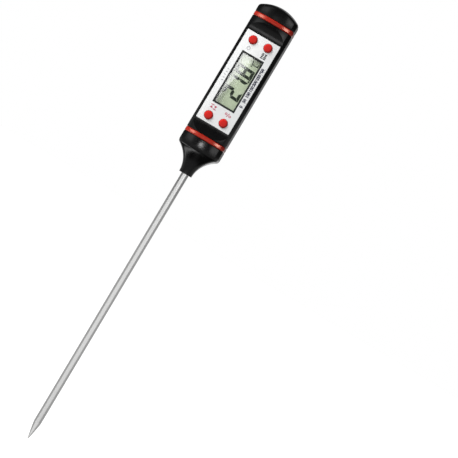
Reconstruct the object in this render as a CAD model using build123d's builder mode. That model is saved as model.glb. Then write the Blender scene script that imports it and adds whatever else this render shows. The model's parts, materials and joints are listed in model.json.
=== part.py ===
"""Digital soil thermometer probe: a slim handle with a display and four keys over a pointed steel stem.

Frame: millimetres, +Z up along the stem. The origin is on the stem's axis, where the stem leaves the
nose. The tip points down (-Z), the display faces the front (-Y), and +X is the reader's right.
"""

import os
from math import cos, radians, sin, sqrt

from build123d import *

# ---------------------------------------------------------------- driving dimensions

# Stem
STEM_LENGTH = 148.0  # nose to point
STEM_RADIUS = 1.9
STEM_WALL = 0.25
POINT_LENGTH = 9.2  # tapered end
POINT_RADIUS = 0.25  # blunt end of the taper
SPIGOT_RADIUS = 1.5  # the stem's reduced end, inside the nose

# Handle section: a rounded rectangle whose front and back are crowned
WIDTH = 21.6
DEPTH = 16.5
CROWN_RADIUS = 24.0
CORNER_RADIUS = 3.0
WALL = 1.5
RIM_ROUND = 0.25  # where the mouldings meet the seal rings
RING_ROUND = 0.55

# Heights along the handle
NOSE_SHOULDER = 12.5
NOSE_TOP = 18.1
RING_HEIGHT = 2.3
BODY_LOW = NOSE_TOP + RING_HEIGHT
BODY_HIGH = 82.1
CAP_LOW = BODY_HIGH + RING_HEIGHT
HANDLE_TOP = 92.0
NOSE_END_WIDTH = 6.6
NOSE_FLARE_ANGLE = 60.0  # how far the concave flare turns outwards, in degrees

# Front face
FLAT_Y = -6.35  # the flat that carries the panel
FLAT_MARGIN = 0.6  # flat beyond the panel's ends, before each scoop starts
SCOOP_LENGTH = 5.6  # from the flat, curving out to the front of the crown
PANEL_WIDTH = 18.0
PANEL_LENGTH = 48.6
PANEL_Z = 50.65  # centre of the panel, the display and the keys
PANEL_THICKNESS = 0.55
PANEL_RECESS = 0.5
KEY_X = 4.1
KEY_Z = 20.8  # from the panel's centre
KEY_RADIUS = 2.1
KEY_STAND = 0.9  # proud of the panel
KEY_TRAVEL = 0.5

# Display
WINDOW_WIDTH = 11.9
WINDOW_LENGTH = 28.2
BEZEL_RIM = 0.6
LENS_THICKNESS = 0.8
GLASS_THICKNESS = 0.7
FILM_THICKNESS = 0.15
GLASS_LENGTH = 29.2
FRONT_GLASS_WIDTH = 16.4
REAR_GLASS_WIDTH = 13.6

# Electronics
BOARD_WIDTH = 16.6
BOARD_LOW = 25.0
BOARD_HIGH = 76.0
BOARD_FRONT = -1.4  # y of the board's front face
BOARD_THICKNESS = 0.8
SCREW_X = 7.2
SCREW_Z = 16.1  # from the panel's centre
CELL_RADIUS = 5.8
CELL_THICKNESS = 5.4
CELL_Z = 70.85
CELL_FRONT = 0.2  # y of the cell's negative face
LEAD_RADIUS = 0.3
LEAD_X = 0.45

# Fits
SLIP = 0.1  # sliding clearance, per side
SNUG = 0.05  # clearance of parts that stay put, per side

# ---------------------------------------------------------------- derived dimensions

BOARD_BACK = BOARD_FRONT + BOARD_THICKNESS
PANEL_FACE = FLAT_Y + PANEL_RECESS - PANEL_THICKNESS
WALL_BACK = FLAT_Y + WALL  # inner face of the front wall
TAPER_TOP = POINT_LENGTH - STEM_LENGTH
BEZEL_BACK = WALL_BACK + 0.45
FRONT_GLASS_Y = BEZEL_BACK + SNUG + FILM_THICKNESS
REAR_GLASS_Y = FRONT_GLASS_Y + GLASS_THICKNESS
REFLECTOR_Y = REAR_GLASS_Y + GLASS_THICKNESS
COLLAR_LOW = 4.5
COLLAR_HIGH = 10.5
COLLAR_RADIUS = 2.6
POTTING_TOP = 13.4
SKIRT_WALL = 1.2
KEY_POST_END = -3.0
DOME_TOP = KEY_POST_END + 0.1


def crown_rise(width, radius):
    """Height of an arc of that radius over a chord of that width."""
    return radius - sqrt(radius**2 - (width / 2) ** 2)


def front_plane(y):
    """A plane facing the front at that y: sketch X is the row's X, and sketch Y is the row's Z."""
    return Plane.XZ.offset(-y)


def crowned_outline(width, depth, rise, corner):
    """A rounded rectangle whose front and back sides are arcs that stand out by rise."""
    half, side = width / 2, depth / 2 - rise
    with BuildSketch() as outline:
        with BuildLine():
            ThreePointArc((-half, -side), (0, -depth / 2), (half, -side))
            Line((half, -side), (half, side))
            ThreePointArc((half, side), (0, depth / 2), (-half, side))
            Line((-half, side), (-half, -side))
        make_face()
        fillet(outline.vertices(), corner)
    return outline.sketch


def handle_outline():
    """The handle's outer section."""
    return crowned_outline(WIDTH, DEPTH, crown_rise(WIDTH, CROWN_RADIUS), CORNER_RADIUS)


def bore_outline(inset=0.0):
    """Section of the body's hollow, cut straight behind the front flat, and smaller by inset."""
    front = WALL_BACK + inset
    with BuildSketch() as outline:
        add(handle_outline())
        offset(amount=-(WALL + inset))
        with Locations((0, front - DEPTH / 2)):
            Rectangle(WIDTH, DEPTH, mode=Mode.SUBTRACT)
    return outline.sketch


def ring_between(low, high, inset):
    """A seal ring as wide as the handle, round a plug whose section is the bore smaller by inset."""
    with BuildPart() as ring:
        with BuildSketch(Plane.XY.offset(low)):
            add(handle_outline())
            add(bore_outline(inset), mode=Mode.SUBTRACT)
        extrude(amount=high - low)
        ends = ring.faces().filter_by(Plane.XY)
        fillet([face.outer_wire().edges() for face in ends], RING_ROUND)
    return ring


def display_rectangle(y, width, length):
    """A rectangle that faces the front at that y, centred on the display."""
    with BuildSketch(front_plane(y)) as outline:
        with Locations((0, PANEL_Z)):
            Rectangle(width, length)
    return outline.sketch


# ---------------------------------------------------------------- stem

# Thin steel tube. Its top is drawn in where it enters the nose, so the shoulder sets its depth.
with BuildPart() as stem_tube:
    with BuildSketch(Plane.XY.offset(TAPER_TOP)):
        Circle(STEM_RADIUS)
    extrude(amount=-TAPER_TOP)
    with BuildSketch(Plane.XY):
        Circle(SPIGOT_RADIUS)
    extrude(amount=COLLAR_HIGH)
    with BuildSketch(Plane.XY.offset(TAPER_TOP)):
        Circle(STEM_RADIUS - STEM_WALL)
    extrude(amount=-TAPER_TOP - STEM_WALL, mode=Mode.SUBTRACT)
    with BuildSketch(Plane.XY.offset(-STEM_WALL)):
        Circle(SPIGOT_RADIUS - STEM_WALL)
    extrude(amount=COLLAR_HIGH + STEM_WALL, mode=Mode.SUBTRACT)

# Pointed end: a slightly convex taper, with a plug that is pressed and welded into the tube. The
# blind bore in it holds the sensor.
PLUG_LENGTH = 4.0
SENSOR_BORE = 0.95
SENSOR_BORE_LOW = -142.1
TAPER_BULGE = 0.05
taper_middle = (
    (STEM_RADIUS + POINT_RADIUS) / 2 + TAPER_BULGE,
    TAPER_TOP - POINT_LENGTH / 2,
)
with BuildPart() as stem_tip:
    with BuildSketch(Plane.XZ):
        with BuildLine():
            Line((0, TAPER_TOP), (STEM_RADIUS, TAPER_TOP))
            ThreePointArc(
                (STEM_RADIUS, TAPER_TOP), taper_middle, (POINT_RADIUS, POINT_RADIUS - STEM_LENGTH)
            )
            RadiusArc((POINT_RADIUS, POINT_RADIUS - STEM_LENGTH), (0, -STEM_LENGTH), POINT_RADIUS)
            Line((0, -STEM_LENGTH), (0, TAPER_TOP))
        make_face()
    revolve(axis=Axis.Z)
    with BuildSketch(Plane.XY.offset(TAPER_TOP)):
        Circle(STEM_RADIUS - STEM_WALL - 0.02)
    extrude(amount=PLUG_LENGTH)
    with BuildSketch(Plane.XY.offset(SENSOR_BORE_LOW)):
        Circle(SENSOR_BORE)
    extrude(amount=TAPER_TOP + PLUG_LENGTH - SENSOR_BORE_LOW, mode=Mode.SUBTRACT)

# Thermistor bead at the bottom of that bore
BEAD_RADIUS = 0.85
BEAD_LOW = -142.0
BEAD_HIGH = -139.7
with BuildPart() as sensor_bead:
    with BuildSketch(Plane.XY.offset(BEAD_LOW)):
        Circle(BEAD_RADIUS)
    extrude(amount=BEAD_HIGH - BEAD_LOW)
    fillet(sensor_bead.edges().group_by(Axis.Z)[0], BEAD_RADIUS - 0.1)

# Two insulated leads from the bead, up the tube and over to the back of the circuit board
LEAD_BEND = 6.0
LEAD_SPREAD = 1.6
LEAD_END = BOARD_LOW + 1.5
with BuildPart() as sensor_leads:
    for side in (-1, 1):
        with BuildLine() as route:
            FilletPolyline(
                (side * LEAD_X, 0, BEAD_HIGH),
                (side * LEAD_X, 0, POTTING_TOP + 1.2),
                (side * LEAD_SPREAD, BOARD_BACK + LEAD_RADIUS, BOARD_LOW - 3.0),
                (side * LEAD_SPREAD, BOARD_BACK + LEAD_RADIUS, LEAD_END),
                radius=LEAD_BEND,
            )
        with BuildSketch(Plane.XY.offset(BEAD_HIGH)):
            with Locations((side * LEAD_X, 0)):
                Circle(LEAD_RADIUS)
        sweep(path=route.wires()[0])

# Brass collar crimped on the stem, and the cast resin that locks the stem and the leads in the nose
with BuildPart() as stem_collar:
    with BuildSketch(Plane.XY.offset(COLLAR_LOW)):
        Circle(COLLAR_RADIUS)
        Circle(SPIGOT_RADIUS, mode=Mode.SUBTRACT)
    extrude(amount=COLLAR_HIGH - COLLAR_LOW)
    chamfer(stem_collar.edges().filter_by(GeomType.CIRCLE).group_by(SortBy.RADIUS)[-1], 0.3)

with BuildPart() as stem_potting:
    with BuildSketch(Plane.XY.offset(COLLAR_HIGH)):
        Circle(COLLAR_RADIUS)
        with Locations((-LEAD_X, 0), (LEAD_X, 0)):
            Circle(LEAD_RADIUS, mode=Mode.SUBTRACT)
    extrude(amount=POTTING_TOP - COLLAR_HIGH)

# ---------------------------------------------------------------- nose

# Concave flare from the small end, which is nearly round, out to the handle's full section
FLARE_STATIONS = 8
flare_turn = radians(NOSE_FLARE_ANGLE)
flare_radius = NOSE_SHOULDER / sin(flare_turn)
flare_reach = flare_radius * (1 - cos(flare_turn))
END_RISE = 0.35
END_CORNER = 2.6
NOSE_CAVITY_WIDTH = 15.6
NOSE_CAVITY_DEPTH = 9.0
NOSE_SKIRT_TOP = 24.3
SHOULDER_ROUND = 0.9


def flare_outline(share):
    """The nose's outline and height where the flare has turned by that share of its angle."""
    turn = flare_turn * share
    height = flare_radius * sin(turn)
    reach = flare_radius * (1 - cos(turn)) / flare_reach

    def between(small, full):
        return small + (full - small) * reach

    outline = crowned_outline(
        between(NOSE_END_WIDTH, WIDTH),
        between(NOSE_END_WIDTH, DEPTH),
        between(END_RISE, crown_rise(WIDTH, CROWN_RADIUS)),
        between(END_CORNER, CORNER_RADIUS),
    )
    return outline, height


with BuildPart() as nose_cone:
    for station in range(FLARE_STATIONS + 1):
        outline, height = flare_outline(station / FLARE_STATIONS)
        with BuildSketch(Plane.XY.offset(height)):
            add(outline)
    loft()
    with BuildSketch(Plane.XY.offset(NOSE_SHOULDER)):
        add(handle_outline())
    extrude(amount=NOSE_TOP - NOSE_SHOULDER)
    shoulder = nose_cone.edges().filter_by_position(
        Axis.Z, NOSE_SHOULDER - 0.01, NOSE_SHOULDER + 0.01
    )
    fillet(shoulder, SHOULDER_ROUND)
    # plug that fits the body, and the pocket for the leads
    with BuildSketch(Plane.XY.offset(NOSE_TOP)):
        add(bore_outline(SNUG))
    extrude(amount=NOSE_SKIRT_TOP - NOSE_TOP)
    with BuildSketch(Plane.XY.offset(POTTING_TOP)):
        with Locations((0, (WALL_BACK + DEPTH / 2 - WALL) / 2)):
            RectangleRounded(NOSE_CAVITY_WIDTH, NOSE_CAVITY_DEPTH, CORNER_RADIUS)
    extrude(amount=NOSE_SKIRT_TOP - POTTING_TOP, mode=Mode.SUBTRACT)
    # stepped bore: a snug fit on the stem, then the collar's seat
    with BuildSketch(Plane.XY):
        Circle(SPIGOT_RADIUS + 0.02)
    extrude(amount=COLLAR_LOW, mode=Mode.SUBTRACT)
    with BuildSketch(Plane.XY.offset(COLLAR_LOW)):
        Circle(COLLAR_RADIUS + 0.02)
    extrude(amount=POTTING_TOP - COLLAR_LOW, mode=Mode.SUBTRACT)

nose_ring = ring_between(NOSE_TOP, BODY_LOW - SNUG, SNUG)

# ---------------------------------------------------------------- body

flat_low = PANEL_Z - PANEL_LENGTH / 2 - FLAT_MARGIN
flat_high = PANEL_Z + PANEL_LENGTH / 2 + FLAT_MARGIN
scoop_low = flat_low - SCOOP_LENGTH
scoop_high = flat_high + SCOOP_LENGTH
CUT_Y = -DEPTH  # well in front of the handle
OPENING_GAP = 0.1
KEY_HOLE_RADIUS = KEY_RADIUS + 0.15
key_places = [(x, PANEL_Z + z) for z in (KEY_Z, -KEY_Z) for x in (-KEY_X, KEY_X)]

with BuildPart() as body_shell:
    with BuildSketch(Plane.XY.offset(BODY_LOW)):
        add(handle_outline())
    extrude(amount=BODY_HIGH - BODY_LOW)
    fillet(body_shell.faces().filter_by(Plane.XY).edges(), RIM_ROUND)
    # the front is cut flat, and a scoop curves out through the crown at each end
    with BuildSketch(Plane.YZ):
        with BuildLine():
            Line((FLAT_Y, flat_low), (FLAT_Y, flat_high))
            TangentArc((FLAT_Y, flat_high), (-DEPTH / 2, scoop_high), tangent=(0, 1))
            Polyline(
                (-DEPTH / 2, scoop_high),
                (CUT_Y, scoop_high),
                (CUT_Y, scoop_low),
                (-DEPTH / 2, scoop_low),
            )
            TangentArc((FLAT_Y, flat_low), (-DEPTH / 2, scoop_low), tangent=(0, -1))
        make_face()
    extrude(amount=WIDTH, both=True, mode=Mode.SUBTRACT)
    with BuildSketch(Plane.XY.offset(BODY_LOW)):
        add(bore_outline())
    extrude(amount=BODY_HIGH - BODY_LOW, mode=Mode.SUBTRACT)
    # seat for the panel, then the openings behind it
    with BuildSketch(front_plane(FLAT_Y)):
        with Locations((0, PANEL_Z)):
            Rectangle(PANEL_WIDTH + 2 * SNUG, PANEL_LENGTH + 2 * SNUG)
    extrude(amount=-PANEL_RECESS, mode=Mode.SUBTRACT)
    with BuildSketch(front_plane(FLAT_Y)):
        with Locations((0, PANEL_Z)):
            Rectangle(WINDOW_WIDTH + OPENING_GAP, WINDOW_LENGTH + OPENING_GAP)
        with Locations(*key_places):
            Circle(KEY_HOLE_RADIUS)
    extrude(amount=-2 * WALL, mode=Mode.SUBTRACT)

# White printed panel, glued into its seat
with BuildPart() as face_panel:
    with BuildSketch(front_plane(PANEL_FACE)):
        with Locations((0, PANEL_Z)):
            RectangleRounded(PANEL_WIDTH, PANEL_LENGTH, 0.3)
            Rectangle(WINDOW_WIDTH + OPENING_GAP, WINDOW_LENGTH + OPENING_GAP, mode=Mode.SUBTRACT)
        with Locations(*key_places):
            Circle(KEY_HOLE_RADIUS, mode=Mode.SUBTRACT)
    extrude(amount=-PANEL_THICKNESS)
    chamfer(face_panel.faces().sort_by(Axis.Y)[0].edges(), 0.06)

# ---------------------------------------------------------------- display

BEZEL_FLANGE = 0.75
BEZEL_LIP = 0.35
LENS_GAP = 0.05
LENS_SINK = 0.1  # lens behind the panel's face
lens_width = WINDOW_WIDTH - 2 * BEZEL_RIM
lens_length = WINDOW_LENGTH - 2 * BEZEL_RIM
lens_face = PANEL_FACE + LENS_SINK

# Black frame: a rim that shows in the panel's window, a flange behind the wall, a lip for the lens
with BuildPart() as lcd_bezel:
    full_depth = BEZEL_BACK - PANEL_FACE
    extrude(display_rectangle(PANEL_FACE, WINDOW_WIDTH, WINDOW_LENGTH), amount=-full_depth)
    flange = display_rectangle(
        BEZEL_BACK, WINDOW_WIDTH + 2 * BEZEL_FLANGE, WINDOW_LENGTH + 2 * BEZEL_FLANGE
    )
    extrude(flange, amount=BEZEL_BACK - WALL_BACK - SNUG)
    lens_seat = display_rectangle(PANEL_FACE, lens_width, lens_length)
    extrude(lens_seat, amount=-(LENS_SINK + LENS_THICKNESS), mode=Mode.SUBTRACT)
    opening = display_rectangle(
        PANEL_FACE, lens_width - 2 * BEZEL_LIP, lens_length - 2 * BEZEL_LIP
    )
    extrude(opening, amount=-full_depth, mode=Mode.SUBTRACT)

with BuildPart() as lcd_window:
    pane = display_rectangle(lens_face, lens_width - 2 * LENS_GAP, lens_length - 2 * LENS_GAP)
    extrude(pane, amount=-LENS_THICKNESS)
    chamfer(lcd_window.faces().sort_by(Axis.Y)[0].edges(), 0.08)


def display_layer(y, width, thickness):
    """One flat layer of the display's stack."""
    with BuildPart() as layer:
        extrude(display_rectangle(y, width, GLASS_LENGTH), amount=-thickness)
    return layer


lcd_front_polarizer = display_layer(FRONT_GLASS_Y - FILM_THICKNESS, REAR_GLASS_WIDTH, FILM_THICKNESS)
lcd_front_glass = display_layer(FRONT_GLASS_Y, FRONT_GLASS_WIDTH, GLASS_THICKNESS)
lcd_rear_glass = display_layer(REAR_GLASS_Y, REAR_GLASS_WIDTH, GLASS_THICKNESS)
lcd_reflector = display_layer(REFLECTOR_Y, REAR_GLASS_WIDTH, FILM_THICKNESS)

# Rubber connector strips: they press the front glass's contact ledges against the circuit board
STRIP_X = 7.55
STRIP_WIDTH = 1.0
STRIP_LENGTH = 27.0


def zebra_strip(side):
    with BuildPart() as strip:
        with BuildSketch(front_plane(REAR_GLASS_Y)):
            with Locations((side * STRIP_X, PANEL_Z)):
                Rectangle(STRIP_WIDTH, STRIP_LENGTH)
        extrude(amount=-(BOARD_FRONT - REAR_GLASS_Y))
    return strip


zebra_strip_left = zebra_strip(-1)
zebra_strip_right = zebra_strip(1)

# White frame that carries the display and is screwed to the board
HOLDER_WIDTH = 17.6
HOLDER_LENGTH = 34.8
PILOT_RADIUS = 0.5
screw_places = [(x, PANEL_Z + z) for z in (-SCREW_Z, SCREW_Z) for x in (-SCREW_X, SCREW_X)]
with BuildPart() as lcd_holder:
    with BuildSketch(front_plane(BEZEL_BACK + SNUG)):
        with Locations((0, PANEL_Z)):
            Rectangle(HOLDER_WIDTH, HOLDER_LENGTH)
            Rectangle(FRONT_GLASS_WIDTH + 0.1, GLASS_LENGTH + 0.1, mode=Mode.SUBTRACT)
        with Locations(*screw_places):
            Circle(PILOT_RADIUS, mode=Mode.SUBTRACT)
    extrude(amount=-(BOARD_FRONT - BEZEL_BACK - SNUG))

# ---------------------------------------------------------------- circuit board

SCREW_SHANK = 0.7
SCREW_HEAD = 1.3
SCREW_HEAD_HEIGHT = 0.6
SCREW_DEPTH = 2.2
with BuildPart() as circuit_board:
    with BuildSketch(front_plane(BOARD_FRONT)):
        with Locations((0, (BOARD_LOW + BOARD_HIGH) / 2)):
            RectangleRounded(BOARD_WIDTH, BOARD_HIGH - BOARD_LOW, 0.6)
        with Locations(*screw_places):
            Circle(SCREW_SHANK + SNUG, mode=Mode.SUBTRACT)
    extrude(amount=-BOARD_THICKNESS)

# Four thread-forming screws, from the board's back into the display holder
with BuildPart() as board_screws:
    with BuildSketch(front_plane(BOARD_BACK)):
        with Locations(*screw_places):
            Circle(SCREW_HEAD)
    extrude(amount=-SCREW_HEAD_HEIGHT)
    fillet(board_screws.edges().group_by(Axis.Y)[-1], 0.25)
    with BuildSketch(front_plane(BOARD_BACK)):
        with Locations(*screw_places):
            Circle(PILOT_RADIUS)
    extrude(amount=SCREW_DEPTH)
    with BuildSketch(front_plane(BOARD_BACK + SCREW_HEAD_HEIGHT)):
        with Locations(*screw_places):
            Rectangle(1.6, 0.3)
            Rectangle(0.3, 1.6)
    extrude(amount=0.3, mode=Mode.SUBTRACT)

# Controller under its resin cap, and the small parts round it
CHIP_Z = 46.0
CHIP_RADIUS = 4.2
CHIP_HEIGHT = 1.1
with BuildPart() as controller_chip:
    with BuildSketch(front_plane(BOARD_BACK)):
        with Locations((0, CHIP_Z)):
            Circle(CHIP_RADIUS)
    extrude(amount=-CHIP_HEIGHT)
    fillet(controller_chip.edges().group_by(Axis.Y)[-1], 0.9)

component_places = [(-5.6, 38.5), (-2.8, 38.5), (0.0, 38.5), (2.8, 38.5), (-5.9, 53.5), (5.9, 53.5)]
with BuildPart() as board_components:
    with BuildSketch(front_plane(BOARD_BACK)):
        with Locations(*component_places):
            Rectangle(0.9, 1.7)
        with Locations((4.4, 58.5)):
            Rectangle(5.0, 1.9)
    extrude(amount=-0.6)

# Silicone mats with a dome under each key
MAT_WIDTH = 13.6
MAT_HEIGHT = 6.2
MAT_THICKNESS = 0.3
DOME_RADIUS = 2.2
mat_face = BOARD_FRONT - MAT_THICKNESS


def keypad_mat(z):
    with BuildPart() as mat:
        with BuildSketch(front_plane(BOARD_FRONT)):
            with Locations((0, z)):
                RectangleRounded(MAT_WIDTH, MAT_HEIGHT, 1.0)
        extrude(amount=MAT_THICKNESS)
        with BuildSketch(front_plane(mat_face)):
            with Locations((-KEY_X, z), (KEY_X, z)):
                Circle(DOME_RADIUS)
        extrude(amount=mat_face - DOME_TOP, taper=30)
    return mat


keypad_upper = keypad_mat(PANEL_Z + KEY_Z)
keypad_lower = keypad_mat(PANEL_Z - KEY_Z)

# ---------------------------------------------------------------- keys

KEY_FLANGE_RADIUS = 2.8
KEY_FLANGE = 0.5
KEY_POST_RADIUS = 1.2
KEY_ROUND = 0.7


def key(place):
    """A hard plastic key: a head through the panel, a flange behind the wall, a post on the dome."""
    face = PANEL_FACE - KEY_STAND
    flange_front = WALL_BACK + SLIP
    with BuildPart() as plunger:
        with BuildSketch(front_plane(face)):
            with Locations(place):
                Circle(KEY_RADIUS)
        extrude(amount=-(flange_front - face))
        fillet(plunger.edges().group_by(Axis.Y)[0], KEY_ROUND)
        with BuildSketch(front_plane(flange_front)):
            with Locations(place):
                Circle(KEY_FLANGE_RADIUS)
        extrude(amount=-KEY_FLANGE)
        with BuildSketch(front_plane(flange_front + KEY_FLANGE)):
            with Locations(place):
                Circle(KEY_POST_RADIUS)
        extrude(amount=-(KEY_POST_END - flange_front - KEY_FLANGE))
    return plunger


key_names = ("key_power", "key_hold", "key_minmax", "key_units")
keys = {name: key(place) for name, place in zip(key_names, key_places)}

# ---------------------------------------------------------------- battery and its contacts

CELL_CAP_RADIUS = 4.6
CELL_CAP_HEIGHT = 0.35
with BuildPart() as battery_cell:
    with BuildSketch(front_plane(CELL_FRONT + CELL_CAP_HEIGHT)):
        with Locations((0, CELL_Z)):
            Circle(CELL_RADIUS)
    extrude(amount=CELL_CAP_HEIGHT - CELL_THICKNESS)
    fillet(battery_cell.edges().filter_by(GeomType.CIRCLE), 0.4)
    with BuildSketch(front_plane(CELL_FRONT + CELL_CAP_HEIGHT)):
        with Locations((0, CELL_Z)):
            Circle(CELL_CAP_RADIUS)
    extrude(amount=CELL_CAP_HEIGHT)
    fillet(battery_cell.edges().group_by(Axis.Y)[0], 0.2)

STRIP_GAUGE = 0.2
CONTACT_WIDTH = 3.0
# Bent leaf on the board, just short of the cell's negative face
with BuildPart() as negative_contact:
    with BuildSketch(Plane.YZ):
        with BuildLine():
            Polyline(
                (BOARD_BACK, CELL_Z - 6.0),
                (BOARD_BACK, CELL_Z - 3.0),
                (CELL_FRONT - 0.03 - STRIP_GAUGE, CELL_Z + 1.0),
                (BOARD_BACK + 0.2, CELL_Z + 2.6),
                (BOARD_BACK + 0.2 + STRIP_GAUGE, CELL_Z + 2.6),
                (CELL_FRONT - 0.03, CELL_Z + 1.0),
                (BOARD_BACK + STRIP_GAUGE, CELL_Z - 3.0),
                (BOARD_BACK + STRIP_GAUGE, CELL_Z - 6.0),
                close=True,
            )
        make_face()
    extrude(amount=CONTACT_WIDTH / 2, both=True)

# Upright tab on the board, beside the cell's rim
TAB_X = CELL_RADIUS + 0.05
TAB_TOP = 2.6
with BuildPart() as positive_contact:
    with BuildSketch(Plane.XY.offset(CELL_Z - CONTACT_WIDTH / 2)):
        with BuildLine():
            Polyline(
                (TAB_X, BOARD_BACK),
                (TAB_X + 2.0, BOARD_BACK),
                (TAB_X + 2.0, BOARD_BACK + STRIP_GAUGE),
                (TAB_X + STRIP_GAUGE, BOARD_BACK + STRIP_GAUGE),
                (TAB_X + STRIP_GAUGE, TAB_TOP),
                (TAB_X, TAB_TOP),
                close=True,
            )
        make_face()
    extrude(amount=CONTACT_WIDTH)

# Solder cones where the leads end on the board
with BuildPart() as solder_joints:
    with BuildSketch(Plane.XY.offset(LEAD_END)):
        with Locations(*[(side * LEAD_SPREAD, BOARD_BACK + LEAD_RADIUS) for side in (-1, 1)]):
            Rectangle(0.8, 2 * LEAD_RADIUS)
    extrude(amount=1.4)
    fillet(solder_joints.edges().filter_by(Axis.Z).group_by(Axis.Y)[-1], 0.25)

# ---------------------------------------------------------------- end cap with its battery carrier

TRAY_LOW = 64.2
TRAY_WALL = 0.75
TRAY_HALF_WIDTH = 7.15
TRAY_FRONT = 3.2  # y where its walls start, behind the contacts
TRAY_FLOOR = 5.7  # y of the floor under the cell
CARRIER_LOW = 77.5
SPIGOT_TOP = 87.8
SPIGOT_INSET = 1.5
pocket_half_width = CELL_RADIUS + SLIP

with BuildPart() as battery_carrier:
    with BuildSketch(Plane.XY.offset(CARRIER_LOW)):
        add(bore_outline(SLIP))
    extrude(amount=CAP_LOW - CARRIER_LOW)
    with BuildSketch(Plane.XY.offset(CAP_LOW)):
        add(bore_outline(SPIGOT_INSET))
    extrude(amount=SPIGOT_TOP - CAP_LOW)
    with BuildSketch(Plane.XY.offset(CARRIER_LOW)):
        add(bore_outline(SLIP + SKIRT_WALL))
    extrude(amount=CAP_LOW - CARRIER_LOW - TRAY_WALL, mode=Mode.SUBTRACT)
    with BuildSketch(Plane.XY.offset(TRAY_LOW)):
        add(bore_outline(SLIP))
        with Locations((0, TRAY_FRONT + DEPTH / 2)):
            Rectangle(2 * TRAY_HALF_WIDTH, DEPTH, mode=Mode.INTERSECT)
    extrude(amount=CARRIER_LOW + SKIRT_WALL - TRAY_LOW)
    with BuildSketch(Plane.XY.offset(TRAY_LOW + TRAY_WALL)):
        with Locations((0, TRAY_FLOOR)):
            Rectangle(2 * pocket_half_width, DEPTH, align=(Align.CENTER, Align.MAX))
    extrude(amount=CARRIER_LOW - TRAY_LOW, mode=Mode.SUBTRACT)

CAP_DOME_RADIUS = 19.0
CAP_ROUND = 2.0
SOCKET_TOP = SPIGOT_TOP + 0.2
with BuildPart() as end_cap:
    with BuildSketch(Plane.XY.offset(CAP_LOW)):
        add(handle_outline())
    extrude(amount=HANDLE_TOP - CAP_LOW + 1)
    with Locations((0, 0, HANDLE_TOP - CAP_DOME_RADIUS)):
        Sphere(CAP_DOME_RADIUS, mode=Mode.INTERSECT)
    dome = end_cap.faces().sort_by(Axis.Z)[-1]
    fillet(dome.edges(), CAP_ROUND)
    base = end_cap.faces().sort_by(Axis.Z)[0]
    fillet(base.edges(), RIM_ROUND)
    with BuildSketch(Plane.XY.offset(CAP_LOW)):
        add(bore_outline(SPIGOT_INSET - 0.02))
    extrude(amount=SOCKET_TOP - CAP_LOW, mode=Mode.SUBTRACT)

cap_ring = ring_between(BODY_HIGH + SNUG, CAP_LOW, SNUG)

# ---------------------------------------------------------------- export

pieces = {
    "stem_tube": stem_tube,
    "stem_tip": stem_tip,
    "sensor_bead": sensor_bead,
    "sensor_leads": sensor_leads,
    "stem_collar": stem_collar,
    "stem_potting": stem_potting,
    "nose_cone": nose_cone,
    "nose_ring": nose_ring,
    "body_shell": body_shell,
    "face_panel": face_panel,
    "lcd_bezel": lcd_bezel,
    "lcd_window": lcd_window,
    "lcd_front_polarizer": lcd_front_polarizer,
    "lcd_front_glass": lcd_front_glass,
    "lcd_rear_glass": lcd_rear_glass,
    "lcd_reflector": lcd_reflector,
    "zebra_strip_left": zebra_strip_left,
    "zebra_strip_right": zebra_strip_right,
    "lcd_holder": lcd_holder,
    "circuit_board": circuit_board,
    "board_screws": board_screws,
    "controller_chip": controller_chip,
    "board_components": board_components,
    "keypad_upper": keypad_upper,
    "keypad_lower": keypad_lower,
    **keys,
    "battery_cell": battery_cell,
    "negative_contact": negative_contact,
    "positive_contact": positive_contact,
    "solder_joints": solder_joints,
    "battery_carrier": battery_carrier,
    "end_cap": end_cap,
    "cap_ring": cap_ring,
}

os.makedirs("parts", exist_ok=True)
for name, piece in pieces.items():
    piece.part.label = name
    export_step(piece.part, f"parts/{name}.step")
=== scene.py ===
"""The looks of the soil thermometer probe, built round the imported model.

Metres, in the model's frame: +Z up along the stem, the display faces the front (-Y), +X is the
reader's right, and the origin is on the stem's axis where it leaves the nose.
"""

import json
from math import asin, atan2, cos, hypot, pi, radians, sin, sqrt, tan

import bmesh
import bpy
from mathutils import Matrix, Vector

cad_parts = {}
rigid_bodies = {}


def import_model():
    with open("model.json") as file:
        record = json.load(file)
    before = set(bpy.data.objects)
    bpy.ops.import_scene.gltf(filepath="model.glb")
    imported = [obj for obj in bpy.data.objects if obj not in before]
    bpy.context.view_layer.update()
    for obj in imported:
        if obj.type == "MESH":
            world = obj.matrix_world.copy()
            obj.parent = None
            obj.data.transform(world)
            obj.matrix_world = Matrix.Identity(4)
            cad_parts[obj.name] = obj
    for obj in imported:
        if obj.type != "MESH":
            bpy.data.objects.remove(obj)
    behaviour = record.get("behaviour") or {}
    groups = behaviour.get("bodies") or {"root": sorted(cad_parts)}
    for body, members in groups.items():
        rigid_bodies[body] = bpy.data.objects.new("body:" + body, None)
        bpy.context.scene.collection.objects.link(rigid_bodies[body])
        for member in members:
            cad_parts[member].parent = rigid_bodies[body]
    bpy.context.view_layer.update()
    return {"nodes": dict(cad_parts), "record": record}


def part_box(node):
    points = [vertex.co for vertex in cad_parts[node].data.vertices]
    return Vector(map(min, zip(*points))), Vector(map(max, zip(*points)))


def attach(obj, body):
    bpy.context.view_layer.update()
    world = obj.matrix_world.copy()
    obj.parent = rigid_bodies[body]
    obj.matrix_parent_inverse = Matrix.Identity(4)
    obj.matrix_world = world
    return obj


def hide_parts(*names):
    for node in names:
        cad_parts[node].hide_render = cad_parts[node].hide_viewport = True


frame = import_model()

MM = 0.001

# ---------------------------------------------------------------- sizes

body_low, body_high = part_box("body_shell")
ring_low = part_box("nose_ring")[0]
cap_low, cap_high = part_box("end_cap")
panel_low, panel_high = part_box("face_panel")
bezel_low, bezel_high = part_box("lcd_bezel")
film_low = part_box("lcd_front_polarizer")[0]
tube_low, tube_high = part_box("stem_tube")
tip_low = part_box("stem_tip")[0]

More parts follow.
